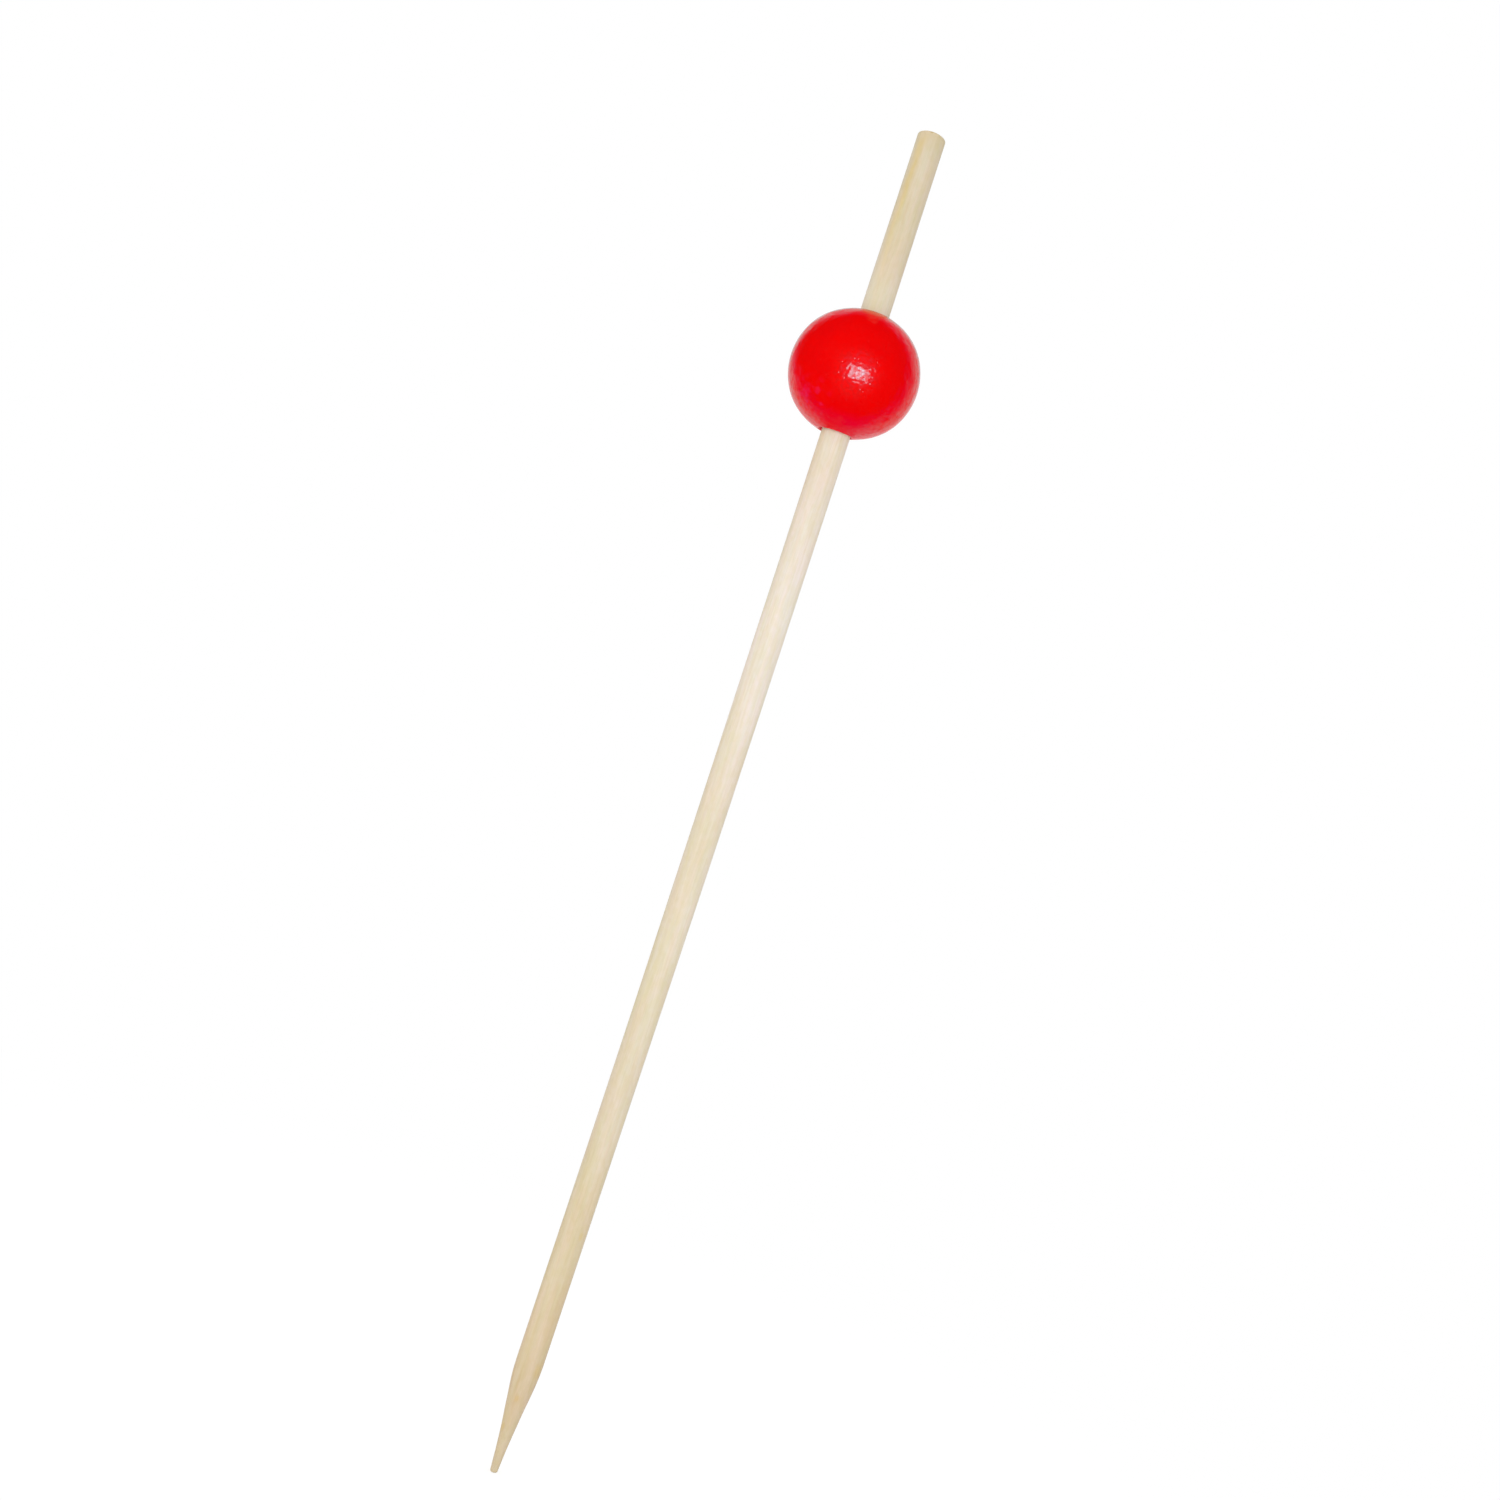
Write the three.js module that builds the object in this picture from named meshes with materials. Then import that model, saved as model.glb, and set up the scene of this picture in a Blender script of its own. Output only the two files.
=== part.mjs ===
// A party pick: a round bamboo skewer with a sharpened point, glued through a drilled wooden ball.
// Millimetres, +Z up. The origin is the tip of the point, and the skewer stands along +Z.
import * as THREE from "three";

// The skewer
const skewerLength = 120;
const skewerDiameter = 2.5;
const pointLength = 10.6; // from the tip to where the shaft has its full diameter
const shoulderLength = 2.6; // the stretch of the point that rounds over into the shaft
const tipDiameter = 0.5; // the very tip is blunt
const cutEndEdge = 0.12; // the broken edge round the sawn end

// The ball
const beadDiameter = 11.3;
const handleLength = 16.1; // skewer that stands clear above the ball
const boreClearance = 0.14; // between the skewer and the bore, all round
const mouthRingWidth = 0.8; // the flat that the lathe leaves round each mouth of the bore

// The glue
const glueGap = 0.02; // keeps the glue's faces apart from the wood's
const glueSetback = 1.1; // how far inside each mouth the glue ends

// Facets
const stepsAround = 48;
const shoulderSteps = 6;
const ballSteps = 30; // from one flat to the other

// Sizes that follow
const skewerRadius = skewerDiameter / 2;
const tipRadius = tipDiameter / 2;
const beadRadius = beadDiameter / 2;
const boreRadius = skewerRadius + boreClearance;
const mouthRadius = boreRadius + mouthRingWidth;
const beadHalfHeight = Math.sqrt(beadRadius ** 2 - mouthRadius ** 2);
const beadCentreHeight = skewerLength - handleLength - beadHalfHeight;

// Turns an outline, drawn as radius against height, round the Z axis.
function turned(outline) {
  const geometry = new THREE.LatheGeometry(outline, stepsAround);
  return geometry.rotateX(Math.PI / 2);
}

// The outline of a ring with square edges.
function ringOutline(innerRadius, outerRadius, halfHeight) {
  return [
    new THREE.Vector2(innerRadius, -halfHeight),
    new THREE.Vector2(outerRadius, -halfHeight),
    new THREE.Vector2(outerRadius, halfHeight),
    new THREE.Vector2(innerRadius, halfHeight),
    new THREE.Vector2(innerRadius, -halfHeight),
  ];
}

// The skewer from its blunt tip, up the cone and its rounded shoulder, to the sawn end.
function bambooSkewer() {
  const coneHeight = pointLength - shoulderLength;
  const shoulderCorner = pointLength - shoulderLength / 2;
  const coneSlope = (skewerRadius - tipRadius) / shoulderCorner;
  const outline = new THREE.Path();
  outline.moveTo(0, 0);
  outline.lineTo(tipRadius, 0);
  outline.lineTo(tipRadius + coneSlope * coneHeight, coneHeight);
  outline.quadraticCurveTo(skewerRadius, shoulderCorner, skewerRadius, pointLength);
  outline.lineTo(skewerRadius, skewerLength - cutEndEdge);
  outline.lineTo(skewerRadius - cutEndEdge, skewerLength);
  outline.lineTo(0, skewerLength);
  const bamboo = new THREE.MeshStandardMaterial({ color: 0xecdec5, roughness: 0.62, metalness: 0 });
  const skewer = new THREE.Mesh(turned(outline.getPoints(shoulderSteps)), bamboo);
  skewer.name = "bamboo_skewer";
  return skewer;
}

// The ball with its through bore and the flat ring round each mouth.
function woodenBall() {
  const mouthAngle = Math.atan2(beadHalfHeight, mouthRadius);
  const outline = [new THREE.Vector2(boreRadius, -beadHalfHeight)];
  for (let step = 0; step <= ballSteps; step += 1) {
    const angle = mouthAngle * ((2 * step) / ballSteps - 1);
    outline.push(new THREE.Vector2(beadRadius * Math.cos(angle), beadRadius * Math.sin(angle)));
  }
  outline.push(new THREE.Vector2(boreRadius, beadHalfHeight));
  outline.push(new THREE.Vector2(boreRadius, -beadHalfHeight));
  const lacquer = new THREE.MeshStandardMaterial({ color: 0xf00404, roughness: 0.25, metalness: 0 });
  const ball = new THREE.Mesh(turned(outline), lacquer);
  ball.name = "wooden_ball";
  ball.position.z = beadCentreHeight;
  return ball;
}

// The thin sleeve of dried glue that fills the bore round the skewer.
function glueSleeve() {
  const outline = ringOutline(skewerRadius + glueGap, boreRadius - glueGap, beadHalfHeight - glueSetback);
  const driedGlue = new THREE.MeshStandardMaterial({ color: 0xd9c79a, roughness: 0.4, metalness: 0 });
  const glue = new THREE.Mesh(turned(outline), driedGlue);
  glue.name = "glue_sleeve";
  glue.position.z = beadCentreHeight;
  return glue;
}

const pick = new THREE.Group();
pick.add(bambooSkewer(), woodenBall(), glueSleeve());

export default pick;
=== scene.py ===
import math

import bmesh
import bpy
from mathutils import Matrix, Vector, noise


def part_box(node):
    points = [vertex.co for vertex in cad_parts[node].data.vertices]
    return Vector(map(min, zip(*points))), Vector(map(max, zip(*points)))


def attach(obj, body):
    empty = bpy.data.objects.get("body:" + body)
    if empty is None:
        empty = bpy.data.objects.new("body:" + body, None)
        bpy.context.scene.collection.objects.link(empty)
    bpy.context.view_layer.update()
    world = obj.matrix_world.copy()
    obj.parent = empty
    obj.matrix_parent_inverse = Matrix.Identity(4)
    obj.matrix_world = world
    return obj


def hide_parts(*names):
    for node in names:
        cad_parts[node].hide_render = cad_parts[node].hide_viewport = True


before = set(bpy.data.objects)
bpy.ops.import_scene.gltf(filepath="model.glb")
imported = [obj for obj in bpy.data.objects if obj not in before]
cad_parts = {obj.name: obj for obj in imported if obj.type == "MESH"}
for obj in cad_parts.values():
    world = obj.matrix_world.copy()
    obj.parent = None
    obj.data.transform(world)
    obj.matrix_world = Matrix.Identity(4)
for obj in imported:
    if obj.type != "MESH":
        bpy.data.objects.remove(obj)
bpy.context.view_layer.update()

MM = 0.001  # metres in a millimetre

# Sizes that the solids give
skewer_low, skewer_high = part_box("bamboo_skewer")
ball_low, ball_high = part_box("wooden_ball")
glue_low, glue_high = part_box("glue_sleeve")
SKEWER_LENGTH = skewer_high.z
SKEWER_RADIUS = skewer_high.x
BALL_CENTRE = (ball_low.z + ball_high.z) / 2
BALL_RADIUS = ball_high.x
GLUE_HALF_HEIGHT = (glue_high.z - glue_low.z) / 2

# The skewer
TIP_RADIUS = 0.318 * MM
TIP_ROUNDING = 0.12 * MM
POINT_TAPER = 0.060  # radius gained for each unit of height, at the tip
POINT_FLARE = 0.00515 / MM  # how fast the taper grows, which leaves the point a little hollow
SHOULDER_SOFTNESS = 0.25 * MM
CUT_EDGE_ROUNDING = 0.13 * MM
CUT_SLANT = Vector((0.021, 0.060))  # the saw ran a little off square
CUT_DROP = 0.075 * MM  # how far the slant lowers the end's middle
CUT_RIDGE = 0.08 * MM  # how far the end falls off to both sides of its middle
NATURAL_BOW = 0.170 * MM  # how far the stick bends out of true at half its length
THIN_PART = 0.962  # the stick's thickness as a share of its nominal size, near the point
SWELL = 0.052  # how much thicker it is in its upper half
SWELL_FROM = 30 * MM  # heights above the tip
SWELL_FULL = 72 * MM
THIN_AT_CUT_END = 0.030
THINNING_FROM = 105 * MM
THINNING_FULL = 119 * MM
FIBRE_RELIEF = 0.007 * MM
FIBRE_LENGTH = 14 * MM
OUT_OF_ROUND = 0.010 * MM
OUT_OF_ROUND_LENGTH = 22 * MM
GRINDING_RELIEF = 0.018 * MM
GRINDING_LENGTH = 1.6 * MM
GROUND_UP_TO = 8.5 * MM  # where the point's ground surface begins to end
GROUND_END = 10.5 * MM
SKEWER_SIDES = 96

# The ball
BORE_CLEARANCE = 0.14 * MM
BORE_RADIUS = SKEWER_RADIUS + BORE_CLEARANCE
BALL_SKIN = 0.004 * MM  # how far the ball's mean surface lies inside its nominal one
POLE_FLATTENING = 0.125 * MM
FLATTENING_FULL = math.radians(12)  # angles from the bore's axis
FLATTENING_GONE = math.radians(58)
LIP_RADIUS = 0.25 * MM
BALL_UNEVENNESS = 0.014 * MM
BALL_UNEVENNESS_WIDTH = 4.2 * MM
TURNING_RELIEF = 0.0020 * MM
TURNING_PITCH = 0.28 * MM  # from one ring of the lathe to the next
TURNING_LENGTH = 6 * MM  # how far round the ball a ring runs
BALL_SIDES = 200
BALL_RINGS = 150

# The lacquer, with places measured from the ball's centre
LACQUER_REACH = 0.7 * MM  # how far the lacquer ran into the bore
LACQUER_ROUGHNESS = 0.12
LACQUER_RELIEF = 0.034 * MM
LACQUER_WAVES = 2.3  # as a share of the relief
BALL_FRONT = (0.25 * MM, -5.58 * MM, -0.80 * MM)
THICK_COAT_REACH = 1.4 * MM  # distances from the ball's front
THICK_COAT_ENDS = 2.6 * MM
GRAIN_FULL = 3.2 * MM
GRAIN_FAINT = 5.2 * MM
WAVES_FROM = 2.6 * MM
WAVES_FULL = 4.4 * MM
THICK_COAT_IOR = 2.0
THIN_COAT_IOR = 1.3
DULL_COAT_HALF_WIDTH = 1.1 * MM  # to each side of the stick
DULL_COAT_ENDS = 2.1 * MM
DULL_COAT_LEAN = 0.06  # how far the dull band moves aside for each unit of height
DULL_COAT_FROM = 2.9 * MM  # heights above and below the ball's middle
DULL_COAT_FULL = 3.8 * MM
DULL_COAT_LOSS = 0.72  # the share of the reflection that is lost there
# Pink reflections painted low on the ball's left
REFLECTION_BLOTCH_PLACE = (-2.67 * MM, -3.55 * MM, -3.49 * MM)
REFLECTION_BLOTCHES_FULL = 1.0 * MM  # distances from that place
REFLECTION_BLOTCHES_GONE = 2.2 * MM

# The light
FILL = 0.775  # how bright the even light round the pick is

# What the gloss mirrors. The sides run from -1, towards the camera, to 1, straight behind.
MIRRORED_WHITE = (0.62, 0.95, 0.95, 1.0)
MIRRORED_RIM = (1.0, 0.86, 0.86, 1.0)
MIRRORED_DARK = (0.006, 0.006, 0.006, 1.0)
MIRRORED_DUSK = (0.20, 0.0, 0.54, 1.0)
DARK_SIDE = 0.22  # where the white begins
BRIGHT_SIDE = 0.80  # where it is whole
RIM_SIDE = 0.88  # where it begins to turn to the rim's colour
DUSK_SIDE = 0.02  # where the dusk begins
DUSK_FULL = 0.36
DUSK_FADES = 0.32  # where the dusk begins to give way to the white
DUSK_GONE = 0.76
LOW_LIGHT_SHARE = 0.12  # how much further the white reaches from below
RIGHT_LIGHT_SHARE = 0.07  # and from the right
LOW_DUSK_SHARE = 0.10
HIGH_DUSK_SHARE = 0.5  # how much of the dusk is left above the ball
DARK_CORNER = (-0.79, 0.58, 0.19)  # the direction in which the white holds back
DARK_CORNER_EDGE = 0.88
DARK_CORNER_DEPTH = 0.18
DUSK_CORNER_EDGE = 0.60
DUSK_CORNER_FULL = 0.95
DUSK_CORNER_DEPTH = 0.20

# The lamps' tints. The ball's red fills them up to white and pink.
COOL = (0.05, 0.87, 1.0)
PINK = (0.05, 0.5, 1.0)

# The floor
FLOOR_PAINT = 0.92
SHADOW_PAINT = 0.40  # the part of the floor's white that can fall into shadow near the pick
SHADOW_NEAR = 20 * MM
SHADOW_FAR = 110 * MM

# The camera, which looks almost level at the middle of the pick
LENS = 50.0
SENSOR = 36.0
CAMERA_DISTANCE = 177.67 * MM
CAMERA_HEIGHT_ANGLE = math.radians(0.60)
PICK_LEAN = math.radians(18.198)
AIM = Vector((1.574 * MM, 0, 65.543 * MM))


def smoothstep(low, high, value):
    """0 below low, 1 above high, and a smooth rise between them."""
    share = min(max((value - low) / (high - low), 0.0), 1.0)
    return share * share * (3 - 2 * share)


def smooth_min(first, second, softness):
    """The lesser of two values, with the corner between them rounded."""
    share = max(softness - abs(first - second), 0.0) / softness
    return min(first, second) - share * share * softness / 4


# Making meshes


def turned(outline, steps):
    """A closed shape turned round Z from an outline of (radius, height) pairs."""
    shape = bmesh.new()
    chain = [shape.verts.new((radius, 0, height)) for radius, height in outline]
    edges = [shape.edges.new(pair) for pair in zip(chain, chain[1:])]
    bmesh.ops.spin(
        shape, geom=chain + edges, cent=(0, 0, 0), axis=(0, 0, 1),
        angle=math.tau, steps=steps, use_merge=True,
    )
    bmesh.ops.remove_doubles(shape, verts=shape.verts, dist=0.0001 * MM)
    bmesh.ops.recalc_face_normals(shape, faces=shape.faces)
    return shape


def finished(shape, name, materials):
    """Turns a bmesh into a smooth-shaded object at the origin."""
    mesh = bpy.data.meshes.new(name)
    for face in shape.faces:
        face.smooth = True
    shape.to_mesh(mesh)
    shape.free()
    for material in materials:
        mesh.materials.append(material)
    piece = bpy.data.objects.new(name, mesh)
    bpy.context.scene.collection.objects.link(piece)
    return piece


def arc(centre, radius, start, end, steps):
    """Points on an arc in the outline's plane, from one angle to another, in degrees."""
    points = []
    for step in range(steps + 1):
        angle = math.radians(start + (end - start) * step / steps)
        points.append((centre[0] + radius * math.cos(angle), centre[1] + radius * math.sin(angle)))
    return points


# Making materials


def new_material(name):
    """An empty node material, with its tree, shader and object coordinates."""
    material = bpy.data.materials.new(name)
    material.use_nodes = True
    tree = material.node_tree
    tree.nodes.clear()
    output = tree.nodes.new("ShaderNodeOutputMaterial")
    shader = tree.nodes.new("ShaderNodeBsdfPrincipled")
    tree.links.new(shader.outputs["BSDF"], output.inputs["Surface"])
    place = tree.nodes.new("ShaderNodeTexCoord").outputs["Object"]
    return material, tree, shader, place


def add(tree, kind, sockets=None, **settings):
    """Adds a node. sockets maps an input's name or number to a value or to another node's output."""
    made = tree.nodes.new("ShaderNode" + kind)
    for key, value in settings.items():
        setattr(made, key, value)
    for key, value in (sockets or {}).items():
        if isinstance(value, bpy.types.NodeSocket):
            tree.links.new(value, made.inputs[key])
        else:
            made.inputs[key].default_value = value
    return made


def maths(tree, operation, first, second=0.0, third=0.0):
    """A sum of one, two or three values."""
    made = add(tree, "Math", {0: first, 1: second, 2: third}, operation=operation)
    return made.outputs[0]


def ramp(tree, value, low, high, low_result=0.0, high_result=1.0):
    """A smooth change from one result to another as a value goes from low to high."""
    made = add(
        tree, "MapRange",
        {"Value": value, "From Min": low, "From Max": high, "To Min": low_result, "To Max": high_result},
        interpolation_type="SMOOTHSTEP",
    )
    return made.outputs["Result"]


def pick_value(tree, share, first, second):
    """Mixes two values."""
    return add(tree, "Mix", {0: share, 2: first, 3: second}).outputs[0]


def blend(tree, share, first, second, way="MIX"):
    """Mixes two colours."""
    made = add(tree, "Mix", {0: share, 6: first, 7: second}, data_type="RGBA", blend_type=way)
    return made.outputs[2]


def vary(tree, ground, share, low_tint, high_tint):
    """Multiplies a colour by a tint that lies between two tints."""
    tint = blend(tree, share, low_tint, high_tint)
    return blend(tree, 1.0, ground, tint, "MULTIPLY")


def away_from(tree, place, point):
    """How far each place is from one point."""
    return add(tree, "VectorMath", {0: place, 1: point}, operation="DISTANCE").outputs["Value"]


def stretched(tree, place, across, along, shift=0.0):
    """Coordinates with so many pattern units to the millimetre across the pick and along it."""
    size = Vector((across, across, along)) / MM
    moved = (shift, shift, shift)
    return add(tree, "Mapping", {"Vector": place, "Scale": size, "Location": moved}).outputs["Vector"]


def grain(tree, place, across, along, detail=2.0, roughness=0.5, shift=0.0):
    """Noise, from 0 to 1, drawn out along the pick."""
    vector = stretched(tree, place, across, along, shift)
    made = add(tree, "TexNoise", {"Vector": vector, "Scale": 1.0, "Detail": detail, "Roughness": roughness})
    return made.outputs["Fac"]


def colour(red, green, blue):
    """A colour written as a screen shows it, from 0 to 255, as the shader reads it."""
    def linear(level):
        share = level / 255
        return share / 12.92 if share <= 0.04045 else ((share + 0.055) / 1.055) ** 2.4
    return linear(red), linear(green), linear(blue), 1.0


# How the bamboo's colour drifts, by share of the length from the tip: partly its own tone, partly painted
# light that is brightest above the middle and falls off towards both ends
BAMBOO_TONE_AND_PAINTED_FALLOFF = [
    (0.0, colour(221, 205, 168)),
    (0.06, colour(225, 204, 168)),
    (0.10, colour(228, 208, 173)),
    (0.15, colour(228, 210, 174)),
    (0.22, colour(230, 214, 183)),
    (0.29, colour(232, 218, 192)),
    (0.36, colour(235, 221, 195)),
    (0.50, colour(236, 222, 198)),
    (0.64, colour(243, 232, 218)),
    (0.70, colour(240, 227, 210)),
    (0.76, colour(237, 221, 199)),
    (0.88, colour(231, 216, 190)),
    (0.985, colour(223, 209, 178)),
    (1.0, colour(221, 204, 168)),
]

# The bamboo's patches, blush, streaks and flecks: the noise, the part of it that counts, and
# the tints where it is low and where it is high
BAMBOO_TINTS = [
    ({"across": 1.1, "along": 0.11}, (0.32, 0.68), (0.975, 0.965, 0.905, 1), (1.02, 1.02, 1.05, 1)),
    (
        {"across": 1.6, "along": 0.2, "shift": 7.0}, (0.35, 0.65),
        (0.985, 1.0, 0.985, 1), (1.02, 0.995, 1.01, 1),
    ),
    (
        {"across": 4.2, "along": 0.2, "shift": 3.0}, (0.33, 0.67),
        (0.98, 0.975, 0.955, 1), (1.015, 1.015, 1.02, 1),
    ),
    (
        {"across": 2.9, "along": 1.5, "detail": 1.0, "shift": 11.0}, (0.33, 0.67),
        (0.99, 0.987, 0.945, 1), (1.008, 1.01, 1.035, 1),
    ),
]

# The stains on the bamboo's front: place across and along, half width and half length
STAINS = [
    (-0.03 * MM, 6.9 * MM, 0.26 * MM, 0.40 * MM),
    (-0.43 * MM, 4.1 * MM, 0.20 * MM, 0.50 * MM),
    (0.90 * MM, 9.6 * MM, 0.34 * MM, 0.90 * MM),
    (0.85 * MM, 21.7 * MM, 0.22 * MM, 0.50 * MM),
]

# The streak on the handle's front: its line across, its half widths and its heights
STREAK_LINE = -0.72 * MM
STREAK_CORE = 0.05 * MM
STREAK_EDGE = 0.42 * MM
STREAK_FROM = 104 * MM
STREAK_FULL = 115 * MM
STREAK_FADES = 118.6 * MM
STREAK_GONE = 120 * MM

# The lacquer's colours. The last three are painted reflections.
RED = colour(246, 0, 0)
DEEP_RED = colour(242, 0, 2)
FRONT_RED = colour(255, 0, 0)  # makes up for the light that the thick coat turns back
UPPER_LIP_REFLECTION_BROWN = colour(214, 92, 20)
LOWER_LIP_REFLECTION_CRIMSON = colour(240, 0, 38)
REFLECTION_BLOTCH_PINK = colour(243, 26, 78)


def bamboo():
    """Pale skewer bamboo: fibre bundles that run the whole length, seen as faint lines on
    the shaft, as drawn-out patches on the point and as dots on the cut end."""
    material, tree, shader, place = new_material("pale_bamboo")
    parts = add(tree, "SeparateXYZ", {"Vector": place}).outputs
    height = maths(tree, "DIVIDE", parts["Z"], SKEWER_LENGTH)

    # The ground colour drifts along the stick, partly by its own tone and partly as painted light that
    # falls off towards both ends.
    tone_and_falloff = add(tree, "ValToRGB", {"Fac": height})
    elements = tone_and_falloff.color_ramp.elements
    while len(elements) < len(BAMBOO_TONE_AND_PAINTED_FALLOFF):
        elements.new(0.5)
    for element, (position, shade) in zip(elements, BAMBOO_TONE_AND_PAINTED_FALLOFF):
        element.position = position
        element.color = shade
    ground = tone_and_falloff.outputs["Color"]

    # Straw-coloured in some places and pinkish in others.
    for pattern, (low, high), low_tint, high_tint in BAMBOO_TINTS:
        level = ramp(tree, grain(tree, place, **pattern), low, high)
        ground = vary(tree, ground, level, low_tint, high_tint)
    fibres = grain(tree, place, 13.0, 0.35, detail=3.0, roughness=0.6)
    ground = vary(tree, ground, ramp(tree, fibres, 0.3, 0.7), (0.975, 0.97, 0.96, 1), (1.02, 1.02, 1.02, 1))

    # Straw-coloured on one side of the shaft and on the other side of both its ends.
    side = ramp(tree, parts["X"], -1.1 * MM, 1.1 * MM)
    on_shaft = maths(
        tree, "MULTIPLY",
        ramp(tree, parts["Z"], 12 * MM, 32 * MM), ramp(tree, parts["Z"], 106 * MM, 94 * MM),
    )
    one_side = blend(tree, on_shaft, (1.035, 1.04, 1.07, 1), (1.0, 1.0, 0.975, 1))
    other_side = blend(tree, on_shaft, (0.985, 0.985, 0.99, 1), (1.03, 1.045, 1.075, 1))
    ground = vary(tree, ground, side, one_side, other_side)

    # Painted paler close to the ball, against the red light that the ball throws on it.
    from_ball = maths(tree, "ABSOLUTE", maths(tree, "SUBTRACT", parts["Z"], BALL_CENTRE))
    near_ball = ramp(tree, from_ball, 9.6 * MM, 5.2 * MM)
    ground = vary(tree, ground, near_ball, (1, 1, 1, 1), (1.01, 1.115, 1.115, 1))

    # Fibre bundles, which show most where the point and the saw cut across them.
    cells = add(
        tree, "TexVoronoi",
        {"Vector": stretched(tree, place, 2.3, 0.015), "Scale": 1.0, "Randomness": 0.95}, feature="F1",
    )
    bundle = ramp(tree, cells.outputs["Distance"], 0.40, 0.12)
    on_point = ramp(tree, parts["Z"], 10.5 * MM, 8.0 * MM)
    on_end = ramp(tree, parts["Z"], SKEWER_LENGTH - 0.22 * MM, SKEWER_LENGTH - 0.12 * MM)
    strength = maths(tree, "MULTIPLY_ADD", on_point, 0.25, 0.10)
    strength = maths(tree, "MULTIPLY_ADD", on_end, 0.75, strength)
    share = maths(tree, "MULTIPLY", bundle, strength)
    ground = blend(tree, share, ground, blend(tree, 1.0, ground, (0.84, 0.73, 0.50, 1), "MULTIPLY"))

    # A straw-gold streak down one side of the handle.
    off_streak = maths(tree, "ABSOLUTE", maths(tree, "SUBTRACT", parts["X"], STREAK_LINE))
    in_front = ramp(tree, parts["Y"], 0.2 * MM, -0.3 * MM)
    along = maths(
        tree, "MULTIPLY",
        ramp(tree, parts["Z"], STREAK_FROM, STREAK_FULL),
        ramp(tree, parts["Z"], STREAK_GONE, STREAK_FADES),
    )
    streak = maths(tree, "MULTIPLY", ramp(tree, off_streak, STREAK_EDGE, STREAK_CORE), along)
    streak = maths(tree, "MULTIPLY", streak, in_front)
    streak = maths(tree, "MULTIPLY", streak, ramp(tree, grain(tree, place, 2.5, 0.5), 0.25, 0.6, 0.3, 1.0))
    ground = blend(tree, streak, ground, blend(tree, 1.0, ground, (1.0, 0.95, 0.72, 1), "MULTIPLY"))

    # Small golden stains on the point and low on the shaft.
    for across, along, half_width, half_length in STAINS:
        aside = maths(tree, "DIVIDE", maths(tree, "SUBTRACT", parts["X"], across), half_width)
        above = maths(tree, "DIVIDE", maths(tree, "SUBTRACT", parts["Z"], along), half_length)
        reach = add(tree, "CombineXYZ", {"X": aside, "Y": above}).outputs[0]
        reach = add(tree, "VectorMath", {0: reach}, operation="LENGTH").outputs["Value"]
        stain = maths(tree, "MULTIPLY", ramp(tree, reach, 1.2, 0.2), in_front)
        ground = vary(tree, ground, stain, (1, 1, 1, 1), (0.99, 0.94, 0.76, 1))
    tree.links.new(ground, shader.inputs["Base Color"])

    # Finish.
    tree.links.new(ramp(tree, fibres, 0.3, 0.7, 0.66, 0.52), shader.inputs["Roughness"])
    shader.inputs["IOR"].default_value = 1.25
    shader.inputs["Sheen Weight"].default_value = 0.10
    shader.inputs["Sheen Roughness"].default_value = 0.5
    bump = add(tree, "Bump", {"Height": fibres, "Distance": 0.02 * MM, "Strength": 0.6})
    tree.links.new(bump.outputs["Normal"], shader.inputs["Normal"])
    return material


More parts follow.
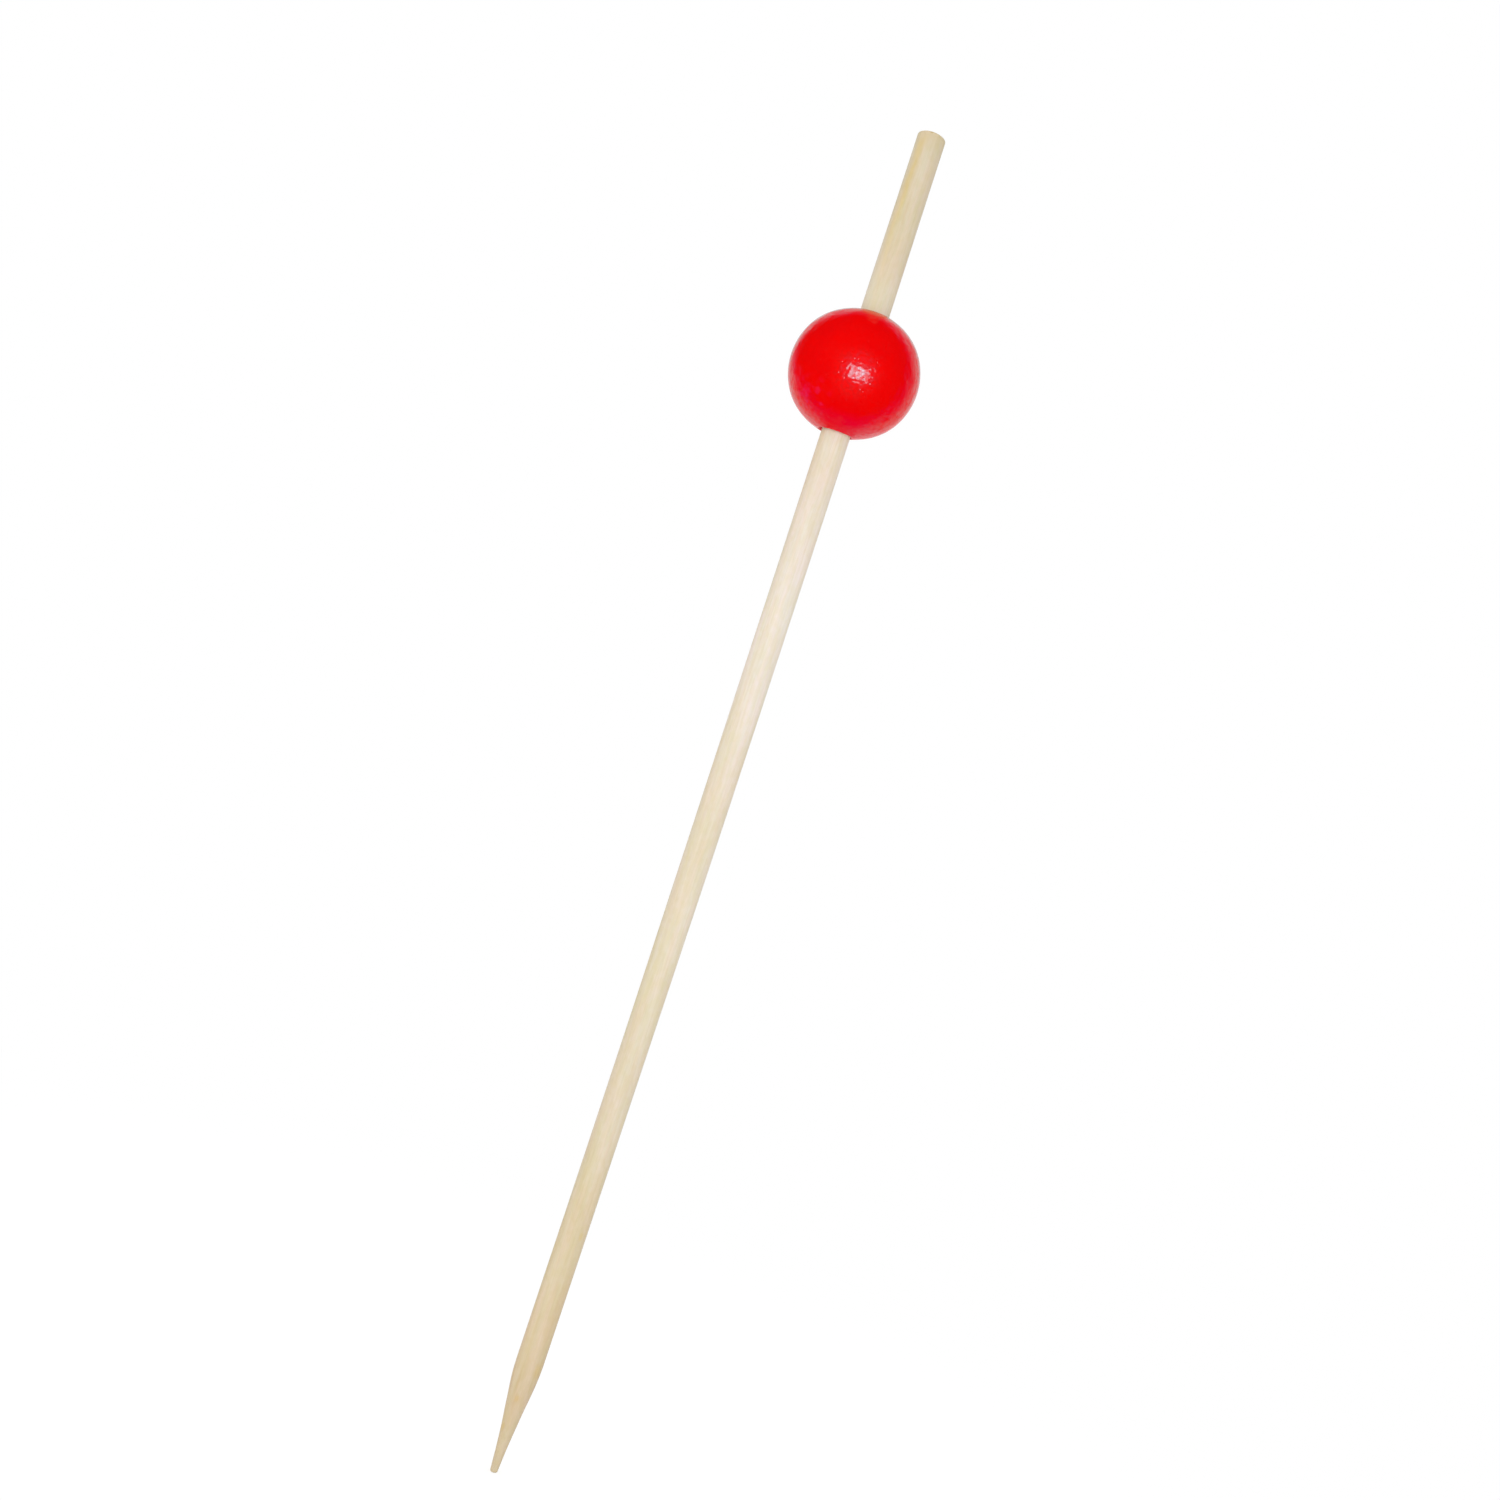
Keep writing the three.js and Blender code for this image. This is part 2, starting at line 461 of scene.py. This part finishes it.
def red_lacquer():
    """Glossy red lacquer over turned wood, with the lathe's rings and pores showing through."""
    material, tree, shader, place = new_material("red_lacquer")
    centred = add(tree, "Mapping", {"Vector": place, "Location": (0, 0, -BALL_CENTRE)}).outputs["Vector"]
    parts = add(tree, "SeparateXYZ", {"Vector": centred}).outputs
    from_equator = maths(tree, "ABSOLUTE", parts["Z"])

    # Red, with painted reflections: brown from the stick round the upper mouth, crimson round the lower
    # one, and pink blotches low on the left.
    patches = grain(tree, centred, 0.35, 0.35)
    shade = blend(tree, ramp(tree, patches, 0.35, 0.65), RED, DEEP_RED)
    # Painted reflection of the stick: brown round the upper mouth.
    upper_lip_reflection = ramp(tree, parts["Z"], 4.5 * MM, 5.2 * MM, 0.0, 0.6)
    shade = blend(tree, upper_lip_reflection, shade, UPPER_LIP_REFLECTION_BROWN)
    # Painted reflection: crimson round the lower mouth.
    lower_lip_reflection = maths(
        tree, "MULTIPLY",
        ramp(tree, parts["Z"], -3.6 * MM, -4.7 * MM), ramp(tree, parts["X"], -1.6 * MM, 1.0 * MM, 0.3, 1.0),
    )
    shade = blend(tree, lower_lip_reflection, shade, LOWER_LIP_REFLECTION_CRIMSON)
    # Painted reflections: pink blotches low on the left.
    from_place = away_from(tree, centred, REFLECTION_BLOTCH_PLACE)
    reflection_blotches = ramp(tree, grain(tree, centred, 1.4, 1.4, detail=1.0, shift=22.2), 0.48, 0.66, 0.0, 0.5)
    reflection_blotches = maths(tree, "MULTIPLY", reflection_blotches, ramp(tree, from_place, REFLECTION_BLOTCHES_GONE, REFLECTION_BLOTCHES_FULL))
    shade = blend(tree, reflection_blotches, shade, REFLECTION_BLOTCH_PINK)

    # The coat is thicker, so glossier, over the middle of the ball's front.
    from_front = away_from(tree, centred, BALL_FRONT)
    thick = ramp(tree, from_front, THICK_COAT_REACH, THICK_COAT_ENDS, 1.0, 0.0)
    shade = blend(tree, thick, shade, FRONT_RED)
    tree.links.new(shade, shader.inputs["Base Color"])
    tree.links.new(pick_value(tree, thick, THIN_COAT_IOR, THICK_COAT_IOR), shader.inputs["IOR"])
    shader.inputs["Roughness"].default_value = LACQUER_ROUGHNESS

    # The coat is finely mottled, and duller beside the stick, in a band that leans a little.
    aside = maths(tree, "ABSOLUTE", maths(tree, "MULTIPLY_ADD", parts["Z"], DULL_COAT_LEAN, parts["X"]))
    beside_stick = ramp(tree, aside, DULL_COAT_ENDS, DULL_COAT_HALF_WIDTH)
    dull = maths(tree, "MULTIPLY", beside_stick, ramp(tree, from_equator, DULL_COAT_FROM, DULL_COAT_FULL))
    clear = maths(tree, "MULTIPLY_ADD", dull, -DULL_COAT_LOSS, 1.0)
    pores = grain(tree, centred, 3.4, 3.8, detail=0.0, shift=11.4)
    pores = ramp(tree, pores, 0.35, 0.65, 0.28, 0.72)
    tree.links.new(maths(tree, "MULTIPLY", pores, clear), shader.inputs["Specular IOR Level"])

    # The lathe's broken rings round the middle, a fine grain, and small dimples here and there.
    rings = grain(tree, centred, 1.6, 4.0, detail=0.0, shift=47.5)
    rings = maths(tree, "MULTIPLY", rings, ramp(tree, from_equator, 2.2 * MM, 4.0 * MM, 0.5, 0.25))
    peel = grain(tree, centred, 3.6, 3.6, detail=0.0, shift=46.8)
    cells = stretched(tree, centred, 3.4, 3.8, shift=36.7)
    cells = add(tree, "TexVoronoi", {"Vector": cells, "Scale": 1.0}, feature="F1").outputs
    chosen = ramp(tree, add(tree, "SeparateColor", {0: cells["Color"]}).outputs[0], 0.55, 0.7)
    dimple = maths(tree, "MULTIPLY", ramp(tree, cells["Distance"], 0.45, 0.0), chosen)
    height = maths(tree, "MULTIPLY_ADD", peel, 0.6, rings)
    height = maths(tree, "MULTIPLY_ADD", dimple, -0.5, height)

    # The coat is wavy all round but for the middle of the ball's front, where it is grainy.
    height = maths(tree, "MULTIPLY", height, ramp(tree, from_front, GRAIN_FULL, GRAIN_FAINT, 1.0, 0.45))
    waves = maths(
        tree, "MULTIPLY",
        grain(tree, centred, 0.9, 0.9, detail=1.0, shift=6.0),
        ramp(tree, from_front, WAVES_FROM, WAVES_FULL, 0.0, LACQUER_WAVES),
    )
    height = maths(tree, "ADD", height, waves)
    bump = add(tree, "Bump", {"Height": height, "Distance": LACQUER_RELIEF, "Strength": 1.0})
    tree.links.new(bump.outputs["Normal"], shader.inputs["Normal"])
    return material


def bare_wood():
    """The unpainted wood inside the ball's bore."""
    material, tree, shader, place = new_material("bare_bore_wood")
    streaks = grain(tree, place, 6.0, 1.2, detail=3.0)
    shade = blend(tree, streaks, colour(196, 160, 118), colour(226, 200, 160))
    tree.links.new(shade, shader.inputs["Base Color"])
    shader.inputs["Roughness"].default_value = 0.75
    bump = add(tree, "Bump", {"Height": streaks, "Distance": 0.03 * MM})
    tree.links.new(bump.outputs["Normal"], shader.inputs["Normal"])
    return material


def dried_glue():
    """Cloudy, slightly yellow dried wood glue."""
    material, tree, shader, place = new_material("dried_wood_glue")
    clouds = grain(tree, place, 3.0, 3.0)
    shade = blend(tree, clouds, colour(206, 184, 132), colour(228, 214, 174))
    tree.links.new(shade, shader.inputs["Base Color"])
    tree.links.new(ramp(tree, clouds, 0.3, 0.7, 0.28, 0.45), shader.inputs["Roughness"])
    bump = add(tree, "Bump", {"Height": clouds, "Distance": 0.05 * MM})
    tree.links.new(bump.outputs["Normal"], shader.inputs["Normal"])
    return material


# The pieces


def bow_at(height):
    """How far the skewer's middle lies off its chord, towards +X."""
    return NATURAL_BOW * math.sin(math.pi * height / SKEWER_LENGTH)


def skewer_radius_at(height):
    """The skewer's radius: the ground point, then a shaft that is thickest in its upper half."""
    share = THIN_PART + SWELL * smoothstep(SWELL_FROM, SWELL_FULL, height)
    share -= THIN_AT_CUT_END * smoothstep(THINNING_FROM, THINNING_FULL, height)
    cone = TIP_RADIUS + (POINT_TAPER + POINT_FLARE * height) * height
    return smooth_min(cone, SKEWER_RADIUS * share, SHOULDER_SOFTNESS)


def skewer_outline():
    """The skewer's outline, from the middle of its blunt tip to the middle of its cut end."""
    tip_corner = TIP_RADIUS - TIP_ROUNDING
    outline = [(0, 0), (tip_corner / 2, 0)]
    outline += arc((tip_corner, TIP_ROUNDING), TIP_ROUNDING, -90, -8, 5)
    point_end = 12 * MM
    height = outline[-1][1] + 0.06 * MM
    top = SKEWER_LENGTH - CUT_EDGE_ROUNDING
    while height < top - 0.1 * MM:
        outline.append((skewer_radius_at(height), height))
        height += 0.11 * MM if height < point_end else 0.28 * MM
    end_radius = skewer_radius_at(top)
    corner = end_radius - CUT_EDGE_ROUNDING
    outline += arc((corner, top), CUT_EDGE_ROUNDING, 0, 90, 5)
    rings = 10
    outline += [(corner * (1 - ring / rings), SKEWER_LENGTH) for ring in range(1, rings)]
    outline.append((0, SKEWER_LENGTH))
    return outline


def shape_skewer_point(place):
    """Moves one point of the turned skewer to where the bamboo's relief and bow put it."""
    across = Vector((place.x, place.y, 0))
    radius = across.length
    height = place.z
    near_end = smoothstep(SKEWER_LENGTH - 1.5 * MM, SKEWER_LENGTH - 0.2 * MM, height)
    ridge = CUT_RIDGE * (place.x / SKEWER_RADIUS) ** 2
    place.z -= near_end * (CUT_DROP + CUT_SLANT.dot(place.xy) + ridge)
    if radius > 0.05 * MM:
        outward = across / radius
        shaft = min(radius / SKEWER_RADIUS, 1.0)
        fibre_place = Vector((outward.x * 9, outward.y * 9, height / FIBRE_LENGTH))
        relief = FIBRE_RELIEF * noise.noise(fibre_place) * shaft
        round_place = Vector((outward.x * 1.1, outward.y * 1.1, height / OUT_OF_ROUND_LENGTH + 5))
        relief += OUT_OF_ROUND * noise.noise(round_place) * shaft
        on_point = 1 - smoothstep(GROUND_UP_TO, GROUND_END, height)
        on_point *= smoothstep(0.3 * MM, 1.5 * MM, height)
        ground_place = Vector((outward.x * 1.8, outward.y * 1.8, height / GRINDING_LENGTH + 9))
        relief += GRINDING_RELIEF * noise.noise(ground_place) * on_point
        place.xy = (outward * (radius + relief)).xy
    place.x += bow_at(height)


def make_skewer(material):
    """The bamboo skewer: ground point, fibrous shaft and sawn end."""
    shape = turned(skewer_outline(), SKEWER_SIDES)
    for vertex in shape.verts:
        shape_skewer_point(vertex.co)
    return finished(shape, "skewer_of_bamboo", [material])


def ball_radius_at(angle):
    """The ball's radius at an angle from the bore's axis: round, but flattened at both poles."""
    from_axis = min(angle, math.pi - angle)
    flattening = POLE_FLATTENING * (1 - smoothstep(FLATTENING_FULL, FLATTENING_GONE, from_axis))
    return BALL_RADIUS - BALL_SKIN - flattening


def ball_outline():
    """The ball's outline, closed on itself, with a rounded lip at each mouth of the bore."""
    lip_centre = BORE_RADIUS + LIP_RADIUS
    first_angle = math.asin(lip_centre / (BALL_RADIUS - BALL_SKIN - POLE_FLATTENING))
    outline = []
    for step in range(BALL_RINGS + 1):
        angle = math.pi - first_angle + (2 * first_angle - math.pi) * step / BALL_RINGS
        radius = ball_radius_at(angle)
        outline.append((radius * math.sin(angle), radius * math.cos(angle)))
    mouth = outline[-1][1]
    outline += arc((lip_centre, mouth - LIP_RADIUS), LIP_RADIUS, 96, 180, 7)
    bore_end = mouth - LIP_RADIUS
    bore_steps = 22
    outline += [(BORE_RADIUS, bore_end * (1 - 2 * step / bore_steps)) for step in range(1, bore_steps)]
    outline += arc((lip_centre, LIP_RADIUS - mouth), LIP_RADIUS, 180, 264, 7)
    return outline + outline[:1]


def make_ball(lacquer, wood):
    """The lacquered ball, a little uneven, with the lathe's rings round its bore's axis."""
    shape = turned(ball_outline(), BALL_SIDES)
    outside_from = BORE_RADIUS + LIP_RADIUS
    for vertex in shape.verts:
        place = vertex.co
        distance = place.length
        outside = smoothstep(outside_from, outside_from + 0.8 * MM, math.hypot(place.x, place.y))
        broad = noise.noise(place / BALL_UNEVENNESS_WIDTH) - 0.35
        ring_place = (place.x / TURNING_LENGTH, place.y / TURNING_LENGTH, place.z / TURNING_PITCH)
        ring = noise.noise(Vector(ring_place))
        relief = (BALL_UNEVENNESS * min(broad, 0) + TURNING_RELIEF * (ring - 1)) * outside
        vertex.co = place * (1 + relief / distance)
    inner = BORE_RADIUS + 0.02 * MM
    bare_height = BALL_RADIUS - POLE_FLATTENING - LACQUER_REACH
    for face in shape.faces:
        middle = face.calc_center_median()
        deep = abs(middle.z) < bare_height and math.hypot(middle.x, middle.y) < inner
        face.material_index = 1 if deep else 0
    bmesh.ops.translate(shape, verts=shape.verts, vec=(0, 0, BALL_CENTRE))
    return finished(shape, "ball_of_turned_wood", [lacquer, wood])


def make_glue(material):
    """The sleeve of dried glue, dished at both ends, with the bowed skewer through it."""
    skin = 0.01 * MM
    outer = BORE_RADIUS - skin
    inner = SKEWER_RADIUS * (THIN_PART + SWELL) + skin
    middle = (outer + inner) / 2
    half = GLUE_HALF_HEIGHT
    dish = 0.15 * MM
    outline = [(inner, -half), (middle, dish - half), (outer, -half)]
    steps = 12
    outline += [(outer, half * (2 * step / steps - 1)) for step in range(1, steps)]
    outline += [(outer, half), (middle, half - dish), (inner, half)]
    outline += [(inner, half * (1 - 2 * step / steps)) for step in range(1, steps)]
    outline.append(outline[0])
    shape = turned(outline, SKEWER_SIDES)
    for vertex in shape.verts:
        vertex.co.z += BALL_CENTRE
        if math.hypot(vertex.co.x, vertex.co.y) < middle - 0.01 * MM:
            vertex.co.x += bow_at(vertex.co.z)
    return finished(shape, "glue_in_bore", [material])


# The stage


def camera_axes():
    """The camera's right, up and forward directions."""
    level_up = Vector((0, math.sin(CAMERA_HEIGHT_ANGLE), math.cos(CAMERA_HEIGHT_ANGLE)))
    forward = Vector((0, math.cos(CAMERA_HEIGHT_ANGLE), -math.sin(CAMERA_HEIGHT_ANGLE)))
    level_right = Vector((1, 0, 0))
    up = level_up * math.cos(PICK_LEAN) - level_right * math.sin(PICK_LEAN)
    right = level_right * math.cos(PICK_LEAN) + level_up * math.sin(PICK_LEAN)
    return right, up, forward


def make_camera():
    """The camera, turned so that the upright pick leans in its picture."""
    right, up, forward = camera_axes()
    lens = bpy.data.cameras.new("camera")
    lens.lens = LENS
    lens.sensor_width = SENSOR
    lens.clip_start = 1 * MM
    camera = bpy.data.objects.new("camera", lens)
    bpy.context.scene.collection.objects.link(camera)
    turn = Matrix((right, up, -forward)).transposed().to_4x4()
    camera.matrix_world = Matrix.Translation(AIM - forward * CAMERA_DISTANCE) @ turn
    bpy.context.scene.camera = camera


def make_lamp(
    name, across, upward, back, size, power,
    tint=(1, 1, 1), in_gloss=True, in_matt=True, shape="RECTANGLE",
):
    """A soft lamp, wide by tall, placed from the camera's aim by the camera's own directions."""
    right, up, forward = camera_axes()
    light = bpy.data.lights.new(name, "AREA")
    light.shape = shape
    light.size, light.size_y = size
    light.energy = power
    light.color = tint
    lamp = bpy.data.objects.new(name, light)
    bpy.context.scene.collection.objects.link(lamp)
    lamp.location = AIM + right * across + up * upward - forward * back
    lamp.rotation_euler = (AIM - lamp.location).to_track_quat("-Z", "Y").to_euler()
    lamp.visible_glossy = in_gloss
    lamp.visible_diffuse = in_matt
    return lamp


def background_rays(tree):
    """1 for a ray that should meet the plain background, and 1 for one that mirrors it."""
    rays = add(tree, "LightPath").outputs
    either = maths(tree, "MAXIMUM", rays["Is Camera Ray"], rays["Is Transmission Ray"])
    return maths(tree, "MAXIMUM", either, rays["Is Glossy Ray"]), rays["Is Glossy Ray"]


def mirrored_surroundings(tree, toward):
    """What the gloss shows round the pick: white behind and below it, the dark room on the
    camera's side, and a violet dusk where the one turns into the other. One corner is darker."""
    parts = add(tree, "SeparateXYZ", {"Vector": toward}).outputs
    behind = maths(tree, "MULTIPLY_ADD", parts["Z"], -LOW_LIGHT_SHARE, parts["Y"])
    behind = maths(tree, "MULTIPLY_ADD", parts["X"], RIGHT_LIGHT_SHARE, behind)
    corner = add(tree, "VectorMath", {0: toward, 1: DARK_CORNER}, operation="DOT_PRODUCT").outputs["Value"]
    held_back = ramp(tree, corner, DARK_CORNER_EDGE, 1.0, 0.0, DARK_CORNER_DEPTH)
    behind = maths(tree, "SUBTRACT", behind, held_back)
    lower = maths(tree, "MULTIPLY_ADD", parts["Z"], -LOW_DUSK_SHARE, behind)
    held_back = ramp(tree, corner, DUSK_CORNER_EDGE, DUSK_CORNER_FULL, 0.0, DUSK_CORNER_DEPTH)
    lower = maths(tree, "SUBTRACT", lower, held_back)
    white = blend(tree, ramp(tree, behind, DARK_SIDE, BRIGHT_SIDE), MIRRORED_DARK, MIRRORED_WHITE)
    white = blend(tree, ramp(tree, behind, RIM_SIDE, 1.0), white, MIRRORED_RIM)
    dusk = maths(
        tree, "MULTIPLY",
        ramp(tree, lower, DUSK_SIDE, DUSK_FULL), ramp(tree, behind, DUSK_GONE, DUSK_FADES),
    )
    dusk = maths(tree, "MULTIPLY", dusk, ramp(tree, parts["Z"], -0.2, 0.4, 1.0, HIGH_DUSK_SHARE))
    return blend(tree, dusk, white, MIRRORED_DUSK, "ADD")


def make_floor():
    """A white floor that keeps the pick's shadow and runs into the white round it."""
    material = bpy.data.materials.new("white_floor")
    material.use_nodes = True
    tree = material.node_tree
    tree.nodes.clear()
    place = add(tree, "TexCoord").outputs["Object"]
    seen, mirrored = background_rays(tree)
    distance = add(tree, "VectorMath", {0: place}, operation="LENGTH").outputs["Value"]
    near = ramp(tree, distance, SHADOW_FAR, SHADOW_NEAR)
    from_ball = add(tree, "VectorMath", {0: place, 1: (0, 0, BALL_CENTRE)}, operation="SUBTRACT").outputs[0]
    toward = add(tree, "VectorMath", {0: from_ball}, operation="NORMALIZE").outputs[0]
    shaded = maths(tree, "MULTIPLY", near, SHADOW_PAINT)
    lit = maths(tree, "MULTIPLY_ADD", shaded, -FILL, 1.0)
    glow_colour = blend(tree, mirrored, lit, mirrored_surroundings(tree, toward))
    seen_paint = pick_value(tree, mirrored, shaded, 0.0)
    paint_level = pick_value(tree, seen, FLOOR_PAINT, seen_paint)
    paint = add(tree, "BsdfDiffuse", {"Color": paint_level}).outputs[0]
    glow = add(tree, "Emission", {"Color": glow_colour, "Strength": seen}).outputs[0]
    surface = add(tree, "AddShader", {0: paint, 1: glow}).outputs[0]
    add(tree, "OutputMaterial", {"Surface": surface})
    shape = bmesh.new()
    bmesh.ops.create_circle(shape, cap_ends=True, segments=96, radius=1.5)
    floor = finished(shape, "floor", [material])


def make_world():
    """White all round for the camera, and a plain even light on the pick."""
    world = bpy.data.worlds.new("studio")
    world.use_nodes = True
    bpy.context.scene.world = world
    tree = world.node_tree
    tree.nodes.clear()
    seen, mirrored = background_rays(tree)
    toward = add(tree, "TexCoord").outputs["Generated"]
    shown = blend(tree, mirrored, (1, 1, 1, 1), mirrored_surroundings(tree, toward))
    white = add(tree, "Background", {"Color": shown, "Strength": 1.0}).outputs[0]
    fill = add(tree, "Background", {"Color": (1, 1, 1, 1), "Strength": FILL}).outputs[0]
    surface = add(tree, "MixShader", {0: seen, 1: fill, 2: white}).outputs[0]
    add(tree, "OutputWorld", {"Surface": surface})


def dress(piece, node):
    """A finished piece rides on the pick's one body and stands for its solid."""
    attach(piece, "root")
    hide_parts(node)


make_camera()
make_lamp("highlight", 28 * MM, 3 * MM, 175 * MM, (116 * MM, 74 * MM), 0.0567, COOL, in_matt=False)
make_lamp("sparkle", 22 * MM, 3 * MM, 170 * MM, (40 * MM, 26 * MM), 0.0103, COOL, in_matt=False)
make_lamp(
    "halo", 24 * MM, 8 * MM, 178 * MM, (220 * MM, 200 * MM), 0.0110,
    PINK, in_matt=False, shape="ELLIPSE",
)
make_lamp("front", 10 * MM, 20 * MM, 190 * MM, (80 * MM, 80 * MM), 0.07, in_gloss=False)
make_lamp("window", -140 * MM, 150 * MM, 170 * MM, (140 * MM, 140 * MM), 0.03, in_gloss=False)
make_world()
make_floor()
dress(make_skewer(bamboo()), "bamboo_skewer")
dress(make_ball(red_lacquer(), bare_wood()), "wooden_ball")
dress(make_glue(dried_glue()), "glue_sleeve")

bpy.context.scene.view_settings.view_transform = "Standard"
